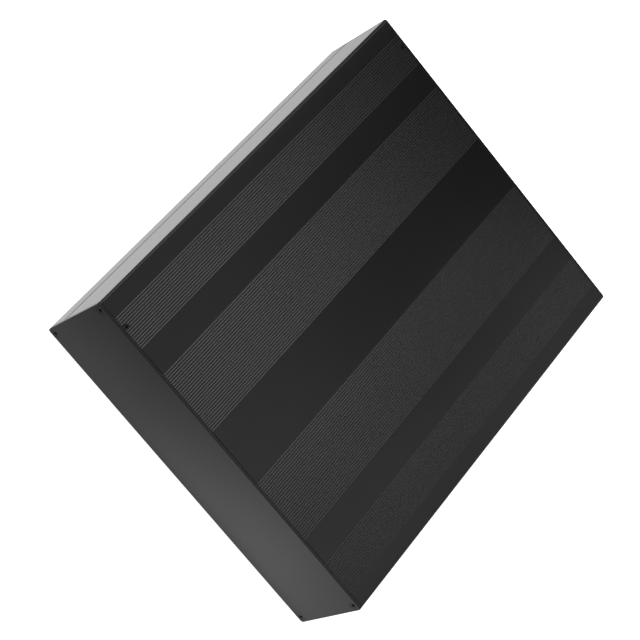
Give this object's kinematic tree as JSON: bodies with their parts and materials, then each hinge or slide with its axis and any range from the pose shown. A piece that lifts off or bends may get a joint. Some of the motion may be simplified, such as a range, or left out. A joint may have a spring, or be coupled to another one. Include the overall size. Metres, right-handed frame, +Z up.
{
  "type": "amplifier enclosure",
  "caption": "Low black aluminium amplifier enclosure of two ribbed, interlocking extruded shells, closed at each end by a flat screwed plate.",
  "frame": {"origin": "centre of the base, on the surface that the enclosure rests on", "axes": "+Z up, +Y from the front plate to the rear plate along the extrusion, +X across the width"},
  "size_m": [0.25, 0.317, 0.067],
  "materials": {
    "shell": "black anodised, bead blasted satin",
    "plate": "black anodised, bead blasted satin",
    "screw": "black oxide"
  },
  "bodies": {
    "root": {"upper_shell": "shell", "lower_shell": "shell", "front_plate": "plate", "rear_plate": "plate", "plate_screws": "screw", "cover_screws": "screw"}
  },
  "joints": []
}
